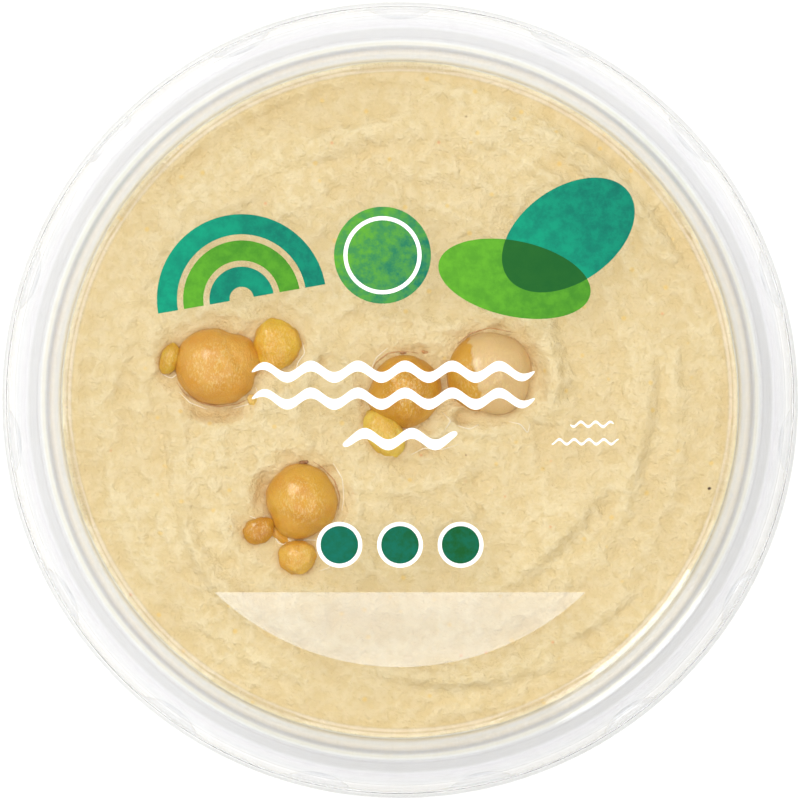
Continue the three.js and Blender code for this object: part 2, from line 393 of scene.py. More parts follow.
lid = {
    "radius": 59,
    "height": 39,
    "wall": 0.9,
    "skirtBottom": 32.2,
    "rimRound": (4.4, 3.2),  # a quarter ellipse from the crest down to the skirt
    "panelTop": 33.5,
    "panelRadius": 48.95,
    "borderRadius": 50.2,
    "borderHeight": 0.5,
    "corner": 0.5,
    "steps": 360,
    "bend": 1.08,  # refraction, low as in a thin wall
    "rings": [  # radius and the tint there: painted shade and light in rings, where the rim's walls and steps bend the light; walls seen edge on are deeper, with thin lines at the steps
        (46.0, (0.88, 0.887, 0.9)),
        (48.6, (0.89, 0.88, 0.86)),
        (48.95, (0.76, 0.77, 0.83)),
        (49.3, (0.8, 0.8, 0.84)),
        (49.4, (0.68, 0.65, 0.58)),
        (49.5, (0.68, 0.65, 0.58)),
        (49.6, (0.8, 0.81, 0.86)),
        (50.15, (0.86, 0.93, 1.0)),
        (50.3, (0.6, 0.56, 0.46)),
        (50.55, (0.64, 0.6, 0.48)),
        (50.7, (0.8, 0.79, 0.74)),
        (51.1, (0.79, 0.87, 1.0)),
        (51.85, (0.82, 0.85, 0.93)),
        (52.05, (0.64, 0.7, 0.84)),
        (52.35, (0.66, 0.7, 0.8)),
        (52.5, (0.96, 1.0, 1.0)),
        (53.1, (0.87, 0.91, 0.95)),
        (53.3, (0.64, 0.65, 0.68)),
        (53.75, (0.81, 0.82, 0.85)),
        (54.95, (0.8, 0.81, 0.83)),
        (55.35, (0.66, 0.66, 0.69)),
        (55.8, (0.69, 0.69, 0.71)),
        (56.4, (0.76, 0.77, 0.79)),
        (57.0, (0.95, 0.95, 0.95)),
        (57.4, (0.89, 0.89, 0.89)),
        (58.0, (0.9, 0.9, 0.9)),
        (58.2, (0.9, 0.9, 0.9)),
        (58.35, (0.66, 0.67, 0.68)),
        (59.0, (0.55, 0.57, 0.58)),
    ],
    "lugs": {"count": 15, "halfAngle": 5.2, "tip": 56.5, "height": 34.1, "halfHeight": 0.75, "blunt": 0.7},
    "pads": {
        "count": 7, "halfAngle": 9.2, "inner": 49.0, "outer": 49.4, "height": 0.55, "bow": 0.5, "end": 0.94,
    },
    # The profile is cut fine where they are shaped: near the skirt at the lugs' height, and on the slope.
    "fine": {
        "step": 0.1, "near": 0.2, "lug": 1, "radii": (48.8, 50.6), "heights": (-0.1, 0.9), "past": 0.15,
    },
}
rimPath = [
    (50.5, lid["panelTop"] + 0.9),
    (51.6, 37.5),
    (52.4, 38.6),
    (53.3, lid["height"]),
    *quarterPath(
        lid["radius"] - lid["rimRound"][0], lid["height"] - lid["rimRound"][1], lid["rimRound"], 20
    ),
]


def buildLid():
    top = lid["panelTop"]
    face = [
        (0, top),
        (lid["panelRadius"], top),
        (lid["borderRadius"], top + lid["borderHeight"]),
        *rimPath,
        (lid["radius"], lid["skirtBottom"]),
    ]
    under = offsetPath(face, lid["wall"])
    path = softPath(face + under[::-1], lid["corner"])
    lugs, pads, fine = lid["lugs"], lid["pads"], lid["fine"]
    skirt, near = lid["radius"] - lid["wall"], fine["near"]
    inner, outer = fine["radii"]
    low, high = (top + height for height in fine["heights"])
    step, lugSpan = fine["step"], fine["lug"]
    path = finePath(path, step, lambda r, z: abs(r - skirt) < near and abs(z - lugs["height"]) < lugSpan)
    path = finePath(path, step, lambda r, z: inner < r < outer and low < z < high)
    bm = spunShape(path, lid["steps"])
    for vert in bm.verts:
        x, y, z = vert.co / mm
        r, angle = hypot(x, y), degrees(atan2(y, x))
        lug = 1 - (fromNearest(angle, lugs["count"]) / lugs["halfAngle"]) ** 2
        rise = (z - lugs["height"]) / lugs["halfHeight"]
        if abs(r - skirt) < near and lug > 0 and abs(rise) < 1:
            inward = (skirt - lugs["tip"]) * lug * cos(rise * pi / 2) ** lugs["blunt"]
            vert.co.xy *= (r - inward) / r
        if pads["inner"] < r < lid["borderRadius"] + fine["past"] and low < z < top + pads["height"]:
            end = fromNearest(angle, pads["count"]) / pads["halfAngle"]
            share = ease(r - pads["bow"] * end**6, pads["inner"], pads["outer"]) * ease(end, 1, pads["end"])
            vert.co.z = max(z, z + (top + pads["height"] - z) * share) * mm
    skin = clearPlastic("lidPlasticShadeRings", lid["bend"], lid["rings"])
    addPiece("lidShell", bm, skin, ["lid"])


tub = {
    "wall": 0.8,
    "gap": 0.3,  # between the lid and the rim below it
    "footHeight": 0.8,
    "footInner": 42.2,
    "footOuter": 44.6,
    "footRound": 0.9,
    "floorRadius": 44.3,
    "wallFoot": (45.3, 2.6),
    "lipBottom": 35.2,
    "gate": (1.3, 0.35, 0.3),  # the moulding mark under the base: radius, depth and slope
    "corner": 0.35,
    "steps": 300,
    "bend": 1.04,
    "tint": (0.97, 0.975, 0.98, 1),
}
tubRim = offsetPath(rimPath, lid["wall"] + tub["gap"])


def buildTub():
    floor = tub["footHeight"] + tub["wall"]
    face = [
        (0, floor),
        (tub["floorRadius"], floor),
        tub["wallFoot"],
        *tubRim,
        (tubRim[-1][0], tub["lipBottom"]),
    ]
    outside = offsetPath(face, tub["wall"])[2:][::-1]
    gateRadius, gateDepth, gateSlope = tub["gate"]
    foot = [
        (tub["footOuter"] + tub["footRound"], tub["footRound"]),
        (tub["footOuter"], 0),
        (tub["footInner"], 0),
        (tub["footInner"] - tub["footHeight"], tub["footHeight"]),
        (gateRadius + gateSlope, tub["footHeight"]),
        (gateRadius, tub["footHeight"] - gateDepth),
        (0, tub["footHeight"] - gateDepth),
    ]
    bm = spunShape(softPath(face + outside + foot, tub["corner"]), tub["steps"])
    skin = clearPlastic("tubPlastic", tub["bend"], tub["tint"])
    addPiece("tubShell", bm, skin, ["tub"])


# Places, half sizes and turns are in mm and degrees. A beak points away from its chickpea's middle.
chickpeas = {
    "chickpea_left": {
        "at": (-27.4, 5.0, 26.9), "half": (6.5, 5.8, 5.1), "turn": -8, "beak": 28,
        "colour": screen(225, 167, 62), "deep": screen(220, 153, 40), "seed": 3,
    },
    "chickpea_middle": {
        "at": (0.8, 1.4, 26.9), "half": (5.45, 5.5, 5.2), "turn": 0, "beak": 205,
        "colour": screen(220, 160, 36), "deep": screen(208, 142, 20), "seed": 11,
    },
    "chickpea_right": {
        "at": (13.3, 3.9, 26.9), "half": (6.65, 6.2, 5.2), "turn": 12, "beak": -52,
        "colour": screen(220, 162, 40), "deep": screen(208, 148, 30), "seed": 17,
    },
    "chickpea_lower": {
        "at": (-14.7, -15.1, 26.9), "half": (5.45, 5.55, 5.2), "turn": 20, "beak": 250,
        "colour": screen(224, 168, 50), "deep": screen(218, 152, 36), "seed": 29,
    },
}
pieces = {
    "chickpea_left_half": {
        "at": (-18.4, 8.1, 27.6), "half": (3.6, 4.0, 2.5), "turn": -12,
        "colour": screen(228, 180, 48), "deep": screen(222, 162, 32), "seed": 37,
    },
    "chickpea_left_chip": {
        "at": (-34.4, 6.1, 27.8), "half": (1.5, 2.4, 1.6), "turn": -22,
        "colour": screen(215, 173, 40), "deep": screen(208, 152, 30), "seed": 41,
    },
    "chickpea_middle_half": {
        "at": (-2.4, -5.0, 27.5), "half": (4.1, 2.8, 2.3), "turn": -57,
        "colour": screen(232, 198, 78), "deep": screen(226, 176, 48), "seed": 43,
    },
    "chickpea_lower_half": {
        "at": (-15.2, -23.5, 27.8), "half": (3.0, 2.5, 2.0), "turn": 10,
        "colour": screen(228, 178, 64), "deep": screen(222, 160, 46), "seed": 47,
    },
    "chickpea_lower_chip": {
        "at": (-21.0, -19.5, 27.9), "half": (2.5, 1.95, 1.7), "turn": 25,
        "colour": screen(208, 149, 24), "deep": screen(200, 132, 16), "seed": 53,
    },
}
# On a ball of radius 1.
beakShape = {
    "bulge": 0.07, "spread": 0.1, "rise": 0.25,
    "groove": 0.05, "grooveAt": 0.72, "grooveWidth": 0.14,
    "crease": 0.012, "creaseWidth": 0.05, "creaseFade": (0.35, 0.8),
}
lumps = {"size": 1.6, "height": 0.035, "dentSize": 4.2, "dentHeight": 0.012}
crags = {"size": 2.1, "height": 0.09, "fineSize": 5.5, "fineHeight": 0.025, "under": 0.6}
# The loose skin of the right chickpea ends at a ragged line, in mm along its X.
skinEdge = {
    "at": -2.1, "jag": 0.9, "fineJag": 0.35, "blur": 0.07, "thick": 0.16,
    "colour": screen(227, 188, 124),
}
# Painted shade: food is darker low down, where it dips into the hummus: height on a ball of radius 1.
dippedShade = {"brim": screen(196, 128, 44), "from": 0.35, "to": 0.02}
flesh = {
    "pale": screen(250, 222, 150),
    "blotchSize": 3.2,
    "blotch": (0.35, 0.68),
    "mottleSize": 0.3,  # fine wet mottles that run down from the crown, painted on the crown as pale highlights
    "mottleStretch": (0.8, 1.9, 1),
    "mottle": (0.52, 0.58),
    "puckerSize": 1.1,
    "roughness": (0.35, 0.5),
    "relief": 0.28,
    "glow": (1.0, 0.45, 0.1),  # how far red, green and blue light goes inside
    "glowDepth": 2.0,
    "fold": 0.35,  # shares of the second colour: painted shade in creases, a painted highlight on the crown, painted shade low down
    "crown": 0.42,
    "brim": 0.5,
}


def wetFood(name, spec, skin=None):
    paint = Paint(name)
    seed = (spec["seed"] * 13.0, 0, 0)
    blotch = paint.noise(flesh["blotchSize"], detail=3, at=seed)
    tone = paint.mix(paint.between(blotch, *flesh["blotch"]), spec["colour"], spec["deep"])
    placing = {"at": seed, "stretch": flesh["mottleStretch"]}
    mottle = paint.noise(flesh["mottleSize"], detail=3, roughness=0.6, distortion=0.8, **placing)
    # Painted shade in the creases.
    tone = paint.mix(flesh["fold"] * paint.attribute("fold"), tone, spec["deep"])
    if skin:
        tone = paint.mix(paint.attribute("skin"), tone, skin)
    crown = flesh["crown"] * paint.attribute("crown")
    # Painted highlight: pale wet mottles on the crown.
    tone = paint.mix(crown * paint.between(mottle, *flesh["mottle"]), tone, flesh["pale"])
    # Painted shade low down, where the food meets the hummus.
    tone = paint.mix(flesh["brim"] * paint.attribute("brim"), tone, dippedShade["brim"])
    pucker = paint.noise(flesh["puckerSize"], detail=2, roughness=0.55, distortion=0.6, at=seed)
    sockets = {
        "Base Color": tone,
        "Roughness": paint.between(pucker, 0.3, 0.7, *flesh["roughness"]),
        "Specular IOR Level": 0.3,
        "Coat Weight": 0.65,
        "Coat Roughness": 0.17,
        "Subsurface Weight": 0.2,
        "Subsurface Radius": flesh["glow"],
        "Subsurface Scale": flesh["glowDepth"] * mm,
        "Normal": paint.bump(pucker * 0.45 + mottle * 0.55, flesh["relief"]),
    }
    return paint.finish(paint.principled(sockets))


def putPlace(bm, spec):
    turn = Matrix.Rotation(radians(spec["turn"]), 4, "Z")
    size = Matrix.Diagonal((*spec["half"], 1)) * mm
    size[3][3] = 1
    place = Matrix.Translation(Vector(spec["at"]) * mm) @ turn @ size
    bmesh.ops.transform(bm, matrix=place, verts=bm.verts)


def buildChickpea(name, spec):
    bm = bmesh.new()
    bmesh.ops.create_icosphere(bm, subdivisions=6, radius=1)
    folds, skins, crownHighlights, brimShades = (
        bm.verts.layers.float.new(layer) for layer in ("fold", "skin", "crown", "brim")
    )
    angle = radians(spec["beak"] - spec["turn"])
    beak = Vector((cos(angle), sin(angle), beakShape["rise"])).normalized()
    seam = beak.cross(Vector((0, 0, 1))).normalized()
    hasSkin = name == "chickpea_right"
    for vert in bm.verts:
        here = vert.co.normalized()
        near = here.dot(beak)
        groove = exp(-(((near - beakShape["grooveAt"]) / beakShape["grooveWidth"]) ** 2))
        bulge = exp(-(((1 - near) / beakShape["spread"]) ** 2))
        crease = exp(-((here.dot(seam) / beakShape["creaseWidth"]) ** 2))
        crease = crease * ease(near, *beakShape["creaseFade"]) * (1 - bulge)
        lump = noise.noise(here * lumps["size"] + Vector((spec["seed"], 0, 0)))
        dent = noise.noise(here * lumps["dentSize"] + Vector((0, spec["seed"], 0)))
        out = 1 + beakShape["bulge"] * bulge - beakShape["groove"] * groove - beakShape["crease"] * crease
        out += lumps["height"] * lump + lumps["dentHeight"] * dent
        # Painted shade in the groove and the crease.
        vert[folds] = min(1, 0.5 * groove + 0.6 * crease)
        vert[crownHighlights] = ease(here.z, 0.55, 0.95)
        vert[brimShades] = ease(here.z, dippedShade["from"], dippedShade["to"])
        if hasSkin:
            x = here.x * spec["half"][0]
            jag = skinEdge["jag"] * noise.noise(Vector((here.y * 4, here.z * 4, 9.1)))
            fineJag = noise.noise(Vector((here.y * 15, here.z * 15, 2.7)))
            jag += skinEdge["fineJag"] * skinEdge["jag"] * fineJag
            edge, blur = skinEdge["at"], skinEdge["blur"]
            vert[skins] = ease(x - jag, edge - blur, edge + blur)
            out += (vert[skins] - 1) * skinEdge["thick"] / spec["half"][0]
        vert.co = here * out
    putPlace(bm, spec)
    skin = skinEdge["colour"] if hasSkin else None
    addPiece(name.replace("_", "") + "Body", bm, wetFood(name + "Skin", spec, skin), [name])


def buildBrokenPiece(name, spec):
    bm = bmesh.new()
    bmesh.ops.create_icosphere(bm, subdivisions=5, radius=1)
    folds, crownHighlights, brimShades = (bm.verts.layers.float.new(layer) for layer in ("fold", "crown", "brim"))
    seed = Vector((spec["seed"], 0.3, 0))
    for vert in bm.verts:
        here = vert.co.normalized()
        crag = noise.noise(here * crags["size"] + seed) * crags["height"]
        crag += noise.noise(here * crags["fineSize"] + seed) * crags["fineHeight"]
        x, y, z = here * (1 + crag)
        vert.co = (x * (1 + 0.1 * y), y * (1 - 0.08 * x), z * crags["under"] if z < 0 else z)
        # Painted shade in the hollows of the broken faces.
        vert[folds] = ease(-crag, 0.02, 0.12)
        vert[crownHighlights] = 0.7 * ease(here.z, 0.4, 0.9)
        vert[brimShades] = 0.6 * ease(here.z, dippedShade["from"], dippedShade["to"])
    putPlace(bm, spec)
    addPiece(name.replace("_", "") + "Body", bm, wetFood(name + "Flesh", spec), [name])


hummus = {
    "level": 28.2,
    "rings": 130,
    "steps": 540,
    "intoWall": 0.1,
    "pale": screen(239, 218, 169),
    "deep": screen(230, 205, 149),
    "wet": screen(196, 152, 84),
    "swell": (0.3, 30, 37),  # height and the two lengths
    "swirl": (0.2, 5.7, 0.9),  # height, pitch and wobble
    "streaks": (0.25, 3.4, 1.9),  # height, and the sizes along and across the rings
    "folds": (1.1, 3.1, 13),  # how far the noise is bent, size and layer
    "lumps": (0.22, 4.6),  # height and size
    "strokeLift": 1.5,  # scales the strokes below
    "crags": [(3.4, 0.21, 1.3), (1.7, 0.13, 5.1), (0.95, 0.07, 9.7)],  # size, height and layer
    "ridge": (3.2, -0.6),  # how steep the crags are, and the lowest that they reach
    "hollow": {"depth": 0.12, "reach": 1.6, "lip": 0.45, "lipAt": 2.8, "lipWidth": 1.1, "span": 7},
    "wetShadeEdge": (0.85, 0.5),  # how wet and shaded it is painted beside a chickpea, and how far out
    "pit": (0.75, 2.4),  # how wet and shaded a pit is painted, and how steep its side
    "calm": (0.75, 47, 50.2),  # how much flatter it lies beside the wall, and where
    "smear": (0.7, 49.4, 50.6),  # how high it climbs on the wall, and where
    "paste": {"midSize": 1.9, "fineSize": 0.4, "cloudSize": 8, "speckSize": 3.3, "relief": 0.9},
}
# Strokes left by the filling spoon: start and end angle, start and end radius, width and height.
strokes = [
    (80, 48, 43.8, 46.2, 1.6, 0.9),
    (56, 26, 46.0, 45.6, 1.4, 0.8),
    (66, 34, 39.5, 41.0, 2.0, 0.8),
    (118, 84, 40.0, 41.5, 1.9, 0.6),
    (140, 84, 47.0, 46.8, 1.6, -0.6),
    (32, -10, 24.8, 22.8, 1.9, 0.9),
    (182, 238, 33.4, 40.4, 1.8, 0.9),
    (186, 226, 29.5, 33.0, 1.6, 0.5),
    (224, 262, 37.6, 38.2, 1.7, 0.7),
    (260, 306, 39.8, 46.0, 1.6, 0.9),
    (302, 322, 43.4, 45.2, 1.4, 0.6),
    (170, 128, 41.0, 43.0, 1.9, 0.5),
    (340, 300, 33.0, 31.0, 2.0, 0.6),
    (20, -28, 38.0, 36.0, 1.9, 0.6),
]
# Small pits beside the chickpeas: place, half sizes and depth. Their darker tint is partly painted shade.
pits = [
    (-27.3, -1.7, 4.2, 1.7, 0.7),
    (-20.0, -13.8, 1.6, 3.0, 0.5),
    (3.9, -7.0, 2.9, 1.4, 0.8),
    (9.1, -2.6, 1.2, 1.2, 0.7),
    (-5.4, 0.3, 0.7, 2.4, 0.6),
    (1.9, 7.4, 3.0, 0.7, 0.5),
    (-11.6, 5.8, 0.5, 0.8, 0.5),
    (14.3, 10.8, 1.6, 0.5, 0.5),
    (-11.0, -10.4, 1.6, 0.6, 0.4),
]


def strokeHeight(r, angle, stroke):
    start, end, fromRadius, toRadius, width, height = stroke
    turnTo = (angle - (start + end) / 2 + 180) % 360 - 180
    t = 0.5 + turnTo / (end - start)
    if not 0 <= t <= 1 or abs(r - fromRadius) > 10:
        return 0
    across = (r - (fromRadius + (toRadius - fromRadius) * t)) / width
    # Its outer side is the steeper one.
    side = across * (0.6 if across < 0 else 1.5)
    return hummus["strokeLift"] * height * exp(-(side**2)) * sin(pi * t) ** 0.6


def outside(x, y, spec):
    turn = radians(spec["turn"])
    dx, dy = x - spec["at"][0], y - spec["at"][1]
    u = dx * cos(turn) + dy * sin(turn)
    v = dy * cos(turn) - dx * sin(turn)
    halfX, halfY = spec["half"][:2]
    return (hypot(u / halfX, v / halfY) - 1) * min(halfX, halfY)


# Height of the hummus above its level at a point, in mm, and how wet it is there; the wetness also carries
# painted shade beside the chickpeas and in the pits.
def hummusAt(x, y):
    r, angle = hypot(x, y), atan2(y, x)
    height, lengthX, lengthY = hummus["swell"]
    z = height * sin(2 * pi * x / lengthX) * cos(2 * pi * y / lengthY)
    height, pitch, wobble = hummus["swirl"]
    z += height * sin(2 * pi * r / pitch + angle + wobble * sin(3 * angle))
    z += sum(strokeHeight(r, degrees(angle), stroke) for stroke in strokes)

    height, along, across = hummus["streaks"]
    ring = Vector((along * cos(angle), along * sin(angle), 0))
    z += height * noise.noise(ring + Vector((0, 0, r / across)))
    bend, size, layer = hummus["folds"]
    here = Vector((x, y, 0))
    here += bend * noise.noise_vector(here / size + Vector((0, 0, layer)))
    height, size = hummus["lumps"]
    z += height * noise.noise(here / size)
    steep, lowest = hummus["ridge"]
    for size, height, layer in hummus["crags"]:
        ridge = 1 - abs(noise.noise(Vector((here.x, here.y, layer * size)) / size)) * steep
        z += height * max(lowest, ridge)

    wet = 0
    wetShadeBeside, wetShadeReach = hummus["wetShadeEdge"]
    hollow = hummus["hollow"]
    for spec in [*chickpeas.values(), *pieces.values()]:
        away = max(0, outside(x, y, spec))
        if away > hollow["span"]:
            continue
        depth = hollow["depth"] * min(spec["half"][:2])
        lip = hollow["lip"] * exp(-(((away - hollow["lipAt"]) / hollow["lipWidth"]) ** 2))
        z += depth * (lip - exp(-((away / hollow["reach"]) ** 2)))
        wet = max(wet, wetShadeBeside * exp(-((away / wetShadeReach) ** 2)))
    wetShadeInPit, steep = hummus["pit"]
    for atX, atY, halfX, halfY, depth in pits:
        if hypot(x - atX, y - atY) > 10:
            continue
        pit = exp(-(((x - atX) / halfX) ** 2 + ((y - atY) / halfY) ** 2) ** steep)
        z -= depth * pit
        wet = max(wet, wetShadeInPit * pit)
    flatter, start, end = hummus["calm"]
    calm = 1 - flatter * ease(r, start, end)
    height, start, end = hummus["smear"]
    smear = height * ease(r, start, end) * (0.6 + noise.noise(ring * 2.5 + Vector((0, 0, 20))))
    return z * calm + smear, wet


def hummusPaste():
    paint = Paint("hummusPaste")
    paste = hummus["paste"]
    mid = paint.noise(paste["midSize"], detail=3, roughness=0.6)
    fine = paint.noise(paste["fineSize"], detail=2, roughness=0.6)
    grain = mid * 0.78 + fine * 0.22
    # Partly the paste's own uneven tone and partly painted shade: it follows the bump's height, darker in
    # its hollows.
    tone = paint.mix(paint.between(grain, 0.4, 0.6), hummus["deep"], hummus["pale"])
    cloud = paint.between(paint.noise(paste["cloudSize"], detail=1), 0.35, 0.65)
    tone = paint.mix(0.3 * cloud, tone, screen(226, 198, 142))
    # Painted shade: the low places of the paste are darker.
    tone = paint.mix(0.5 * (1 - paint.attribute("lift")), tone, screen(214, 184, 124))
    # Bits of skin and spice: one speck in some of the cells, and the cell's own number says of what kind.
    speck, kind = paint.cells(paste["speckSize"]), paint.cells(paste["speckSize"], "Color")
    kind = paint.node("ShaderNodeSeparateXYZ", sockets={0: kind}, output="X")
    yellow = paint.between(speck, 0.15, 0.07) * paint.between(kind, 0.6, 0.59)
    tone = paint.mix(0.5 * yellow, tone, screen(240, 196, 92))
    rosy = paint.between(speck, 0.1, 0.05) * paint.between(kind, 0.72, 0.73)
    rosy = rosy * paint.between(kind, 0.97, 0.96)
    tone = paint.mix(0.55 * rosy, tone, screen(236, 160, 106))
    crumb = paint.between(speck, 0.07, 0.04) * paint.between(kind, 0.97, 0.98)
    tone = paint.mix(0.6 * crumb, tone, screen(150, 104, 58))
    wet = paint.attribute("wet")
    # Wet places are darker: partly real wetness, partly painted shade beside the chickpeas and in the pits.
    tone = paint.mix(0.5 * wet, tone, hummus["wet"])
    rough = paint.between(fine, 0.3, 0.7, 0.42, 0.62)
    sockets = {
        "Base Color": tone,
        "Roughness": rough * (1 - 0.5 * wet),
        "Specular IOR Level": 0.4,
        "Normal": paint.bump(grain, paste["relief"]),
    }
    return paint.finish(paint.principled(sockets))


def buildHummus():
    footRadius, footHeight = tub["wallFoot"]
    topRadius, topHeight = tubRim[0]
    slope = (topRadius - footRadius) / (topHeight - footHeight)
    edge = footRadius + slope * (hummus["level"] - footHeight) + hummus["intoWall"]
    rings, steps = ((hummus["rings"], hummus["steps"]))
    top = [(edge * i / rings, hummus["level"]) for i in range(rings + 1)]
    floor = tub["footHeight"] + tub["wall"] - hummus["intoWall"]
    side = [
        (footRadius + slope * 12 + hummus["intoWall"], footHeight + 12),
        (footRadius + hummus["intoWall"], footHeight),
        (tub["floorRadius"], floor),
        (0, floor),
    ]
    bm = spunShape(top + side, steps)
    wetAndShadeLayer = bm.verts.layers.float.new("wet")
    # How high each point lies; the paste paints shade in its low places from it.
    lift = bm.verts.layers.float.new("lift")
    for vert in bm.verts:
        vert[lift] = 1
        if vert.co.z > (hummus["level"] - 0.01) * mm:
            z, wet = hummusAt(vert.co.x / mm, vert.co.y / mm)
            vert.co.z += z * mm
            vert[wetAndShadeLayer] = wet
            vert[lift] = ease(z, -0.8, 0.75)
    addPiece("hummusBody", bm, hummusPaste(), ["hummus"])


# Thin skins and wet lines beside the chickpeas, drawn as bent threads that lie on the hummus. The pale ones
# are partly thin skins and partly a painted highlight along wet edges; the brown ones are painted shadow in
# the creases where the chickpeas meet the hummus.
thread = {
    "radius": 0.13,
    "lift": 0.05,
    "step": 0.4,  # between the points of a line
    "pale": screen(250, 238, 208),
    "brown": screen(184, 126, 66),
    "spots": screen(236, 206, 146),
}
threads = {
    "skinThreads": (thread["pale"], [
        [(-20.4, -17.5), (-19.2, -19.4), (-18.2, -21.4), (-16.3, -22.0), (-14.2, -20.9), (-11.6, -21.0)],
        [(-22.5, -17.3), (-21.2, -17.9), (-20.0, -17.2)],
        [(-18.9, -18.9), (-17.6, -20.2), (-16.0, -21.3)],
        [(-11.0, -21.9), (-9.9, -23.4), (-10.6, -25.1), (-12.2, -25.6)],
        [(-10.0, -9.4), (-8.6, -11.8), (-8.4, -14.6), (-8.7, -16.6)],
        [(-14.6, 8.6), (-14.2, 7.0), (-15.3, 5.6), (-15.6, 4.0)],
        [(-35.6, 3.9), (-34.2, 3.2), (-32.8, 4.3), (-32.2, 6.0)],
        [(-33.0, 1.2), (-31.4, -0.4), (-28.8, -1.4)],
        [(-25.0, -1.3), (-22.6, -0.6), (-21.2, 0.8), (-21.6, 2.0)],
        [(-4.4, 4.4), (-3.6, 6.3), (-1.8, 7.8)],
        [(6.3, -1.8), (7.6, -3.1), (6.6, -4.6)],
        [(8.6, -3.8), (10.4, -4.4), (11.8, -3.6)],
        [(16.2, -3.2), (18.0, -3.6), (19.1, -5.0), (19.4, -3.6)],
        [(1.6, -8.2), (3.6, -7.2), (6.4, -7.4), (8.8, -6.6)],
    ]),
    "rimThreads": (thread["brown"], [
        [(-33.4, 2.6), (-32.2, 0.9), (-30.0, -0.4), (-27.2, -1.0), (-24.2, -0.6), (-22.4, 0.3)],
        [(-13.0, -9.2), (-11.6, -10.1), (-9.8, -12.0), (-9.0, -14.4), (-9.2, -16.4)],
        [(-4.6, 3.4), (-3.6, 5.6), (-1.8, 7.0), (0.4, 7.3), (2.8, 7.0)],
        [(8.6, 8.4), (10.6, 10.0), (13.4, 10.8), (16.6, 10.2)],
    ]),
}


def buildThreads(name, colour, lines):
    curve = bpy.data.curves.new(name, "CURVE")
    curve.dimensions = "3D"
    curve.bevel_depth = thread["radius"] * mm
    curve.bevel_resolution = 2
    curve.use_fill_caps = True
    for line in lines:
        spline = curve.splines.new("NURBS")
        fine = finePath(line, thread["step"], lambda x, y: True)
        spline.points.add(len(fine) - 1)
        spline.order_u = 6
        spline.use_endpoint_u = True
        spline.resolution_u = 2
        for i, (point, (x, y)) in enumerate(zip(spline.points, fine)):
            height = hummus["level"] + hummusAt(x, y)[0] + thread["lift"]
            point.co = (x * mm, y * mm, height * mm, 1)
            swell = 0.75 * sin(pi * (i + 0.5) / len(fine))
            point.radius = 0.25 + swell * (0.8 + 0.4 * noise.noise(Vector((x, y, 3))))
    shape = bpy.data.objects.new(name + "Path", curve)
    scene.collection.objects.link(shape)
    bpy.context.view_layer.update()
    bm = bmesh.new()
    bm.from_mesh(shape.to_mesh())
    shape.to_mesh_clear()
    bpy.data.objects.remove(shape)
    bmesh.ops.remove_doubles(bm, verts=bm.verts, dist=weld)
    bmesh.ops.recalc_face_normals(bm, faces=bm.faces)
    paint = Paint(name)
    tone = paint.mix(0.5 * paint.noise(0.8), colour, thread["spots"])
    sockets = {"Base Color": tone, "Roughness": 0.25, "Coat Weight": 0.6, "Coat Roughness": 0.1}
    addPiece(name, bm, paint.finish(paint.principled(sockets)))


# Bits that are too small to be parts of their own.
crumbs = {
    "bridgeBit": {
        "at": (-18.7, -19.7, 28.0), "half": (2.5, 0.85, 0.75), "turn": -42,
        "colour": screen(214, 154, 34), "deep": screen(204, 138, 24), "seed": 61,
    },
    "topBit": {
        "at": (-14.4, -9.3, 28.2), "half": (0.75, 0.35, 0.35), "turn": 8,
        "colour": screen(170, 116, 60), "deep": screen(140, 92, 50), "seed": 67,
    },
    "sideBit": {
        "at": (-22.0, -0.1, 28.3), "half": (0.7, 1.0, 0.45), "turn": 25,
        "colour": screen(228, 182, 80), "deep": screen(220, 166, 60), "seed": 71,
    },
    "middleBit": {
        "at": (0.4, 7.0, 28.15), "half": (0.6, 0.24, 0.3), "turn": 4,
        "colour": screen(176, 118, 60), "deep": screen(150, 98, 52), "seed": 73,
    },
    "nearBit": {
        "at": (3.9, 7.1, 28.15), "half": (0.7, 0.28, 0.3), "turn": -12,
        "colour": screen(190, 136, 74), "deep": screen(164, 110, 56), "seed": 89,
    },
    "brownSpeck": {
        "at": (46.2, -13.2, 28.25), "half": (0.24, 0.2, 0.2), "turn": 0,
        "colour": screen(104, 76, 48), "deep": screen(90, 62, 40), "seed": 79,
    },
    "purpleSpeck": {
        "at": (32.1, 28.0, 28.3), "half": (0.26, 0.2, 0.2), "turn": 30,
        "colour": screen(176, 118, 124), "deep": screen(160, 104, 112), "seed": 83,
    },
}


def buildCrumb(name, spec):
    bm = bmesh.new()
    bmesh.ops.create_icosphere(bm, subdivisions=4, radius=1)
    seed = Vector((spec["seed"], 0.3, 0))
    for vert in bm.verts:
        vert.co *= 1 + 0.3 * noise.noise(vert.co * 1.6 + seed)
    x, y, z = spec["at"]
    putPlace(bm, spec)
    bmesh.ops.translate(bm, verts=bm.verts, vec=(0, 0, hummusAt(x, y)[0] * mm))
    addPiece(name, bm, wetFood(name + "Flesh", spec))


# The print on the lid's middle: plain rounds, half rings, wavy lines and dots, with a blank field below.
ink = {
    "height": 0.03,
    "lift": 0.01,
    "lightGreen": screen(92, 162, 40),
    "midGreen": screen(62, 128, 34),
    "darkGreen": screen(10, 82, 34),
    "teal": screen(8, 146, 112),
    "deepTeal": screen(4, 104, 88),
    "white": screen(252, 252, 250),
    "passes": (0.9, 0.9, 0.88, 1),  # of the light that passes straight through
    "fade": 9,  # mm from a motif's middle to where its second colour is full
    "dappleSize": 2.4,
}


